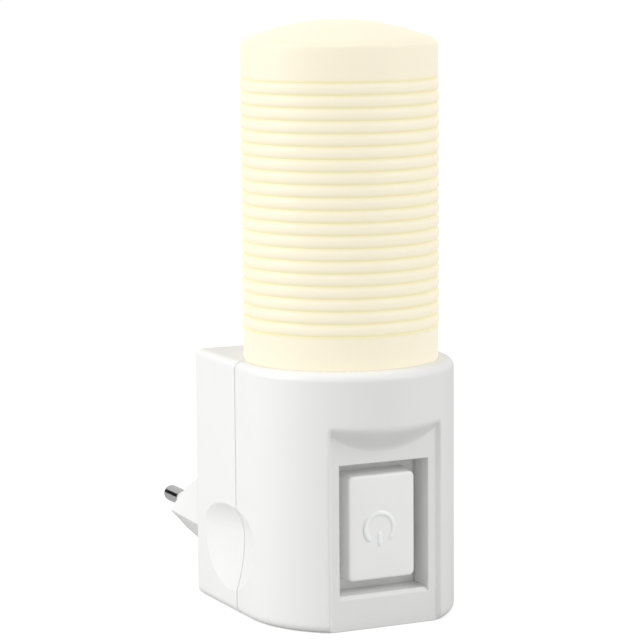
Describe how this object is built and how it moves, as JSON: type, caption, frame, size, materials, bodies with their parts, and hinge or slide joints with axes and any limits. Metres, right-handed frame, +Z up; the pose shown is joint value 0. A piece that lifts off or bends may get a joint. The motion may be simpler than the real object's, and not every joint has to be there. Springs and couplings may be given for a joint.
{
  "type": "plug-in night light",
  "caption": "Plug-in night light with a ribbed cylindrical diffuser above a round-fronted housing, a sunken push button and a rear plug boss.",
  "frame": {"origin": "on the plug's end face, halfway between the two pins", "axes": "+Y along the pins into the socket, +Z up along the diffuser, +X across the pins; the button faces -Y"},
  "size_m": [0.049, 0.1056, 0.1334],
  "materials": {
    "housing_white": "satin moulded white",
    "diffuser_cream": "translucent cream",
    "button_white": "satin moulded white",
    "pin_metal": "plated, polished",
    "sleeve_white": "matt",
    "inner_plastic": "matt",
    "switch_black": "matt",
    "spring_steel": "bright drawn",
    "contact_brass": "plain",
    "screw_steel": "zinc plated",
    "board_green": "lacquered",
    "board_white": "lacquered",
    "led_yellow": "resin",
    "capacitor_red": "dipped",
    "drum_black": "sleeved",
    "resistor_beige": "lacquered",
    "resistor_blue": "lacquered",
    "lead_brown": "insulated",
    "lead_blue": "insulated",
    "lead_red": "insulated",
    "lead_black": "insulated"
  },
  "bodies": {
    "housing": {"front_housing": "housing_white", "rear_cover": "housing_white", "diffuser": "diffuser_cream", "plug_pin_left": "pin_metal", "plug_pin_right": "pin_metal", "pin_sleeve_left": "sleeve_white", "pin_sleeve_right": "sleeve_white", "pin_carrier": "inner_plastic", "switch_body": "switch_black", "button_spring": "spring_steel", "switch_terminal_live": "contact_brass", "switch_terminal_load": "contact_brass", "switch_screws": "screw_steel", "led_board": "board_white", "led_chips": "led_yellow", "led_board_screws": "screw_steel", "driver_board": "board_green", "driver_screws": "screw_steel", "film_capacitor": "capacitor_red", "smoothing_capacitor": "drum_black", "bridge_rectifier": "switch_black", "fuse_resistor": "resistor_beige", "bleed_resistor": "resistor_blue", "live_lead": "lead_brown", "neutral_lead": "lead_blue", "switched_lead": "lead_brown", "lamp_lead_positive": "lead_red", "lamp_lead_negative": "lead_black", "housing_screws": "screw_steel"},
    "button": {"push_button": "button_white", "switch_plunger": "inner_plastic", "contact_bridge": "contact_brass"},
    "latch": {"latch_lever": "spring_steel"}
  },
  "joints": [
    {"name": "button_press", "type": "slide", "parent": "housing", "child": "button", "axis": [0, 1, 0], "range_m": [0, 0.0022], "stiffness_N_per_m": 400, "springref_m": -0.003, "deforming": ["button_spring"]},
    {"name": "latch_turn", "type": "hinge", "parent": "housing", "child": "latch", "pos_m": [0, -0.0603, 0.0159], "axis": [0, 0, 1], "range_deg": [0, 8.4]}
  ],
  "couplings": [
    {"joint": "latch_turn", "follows": "button_press", "rad_per_m": 66.64}
  ]
}
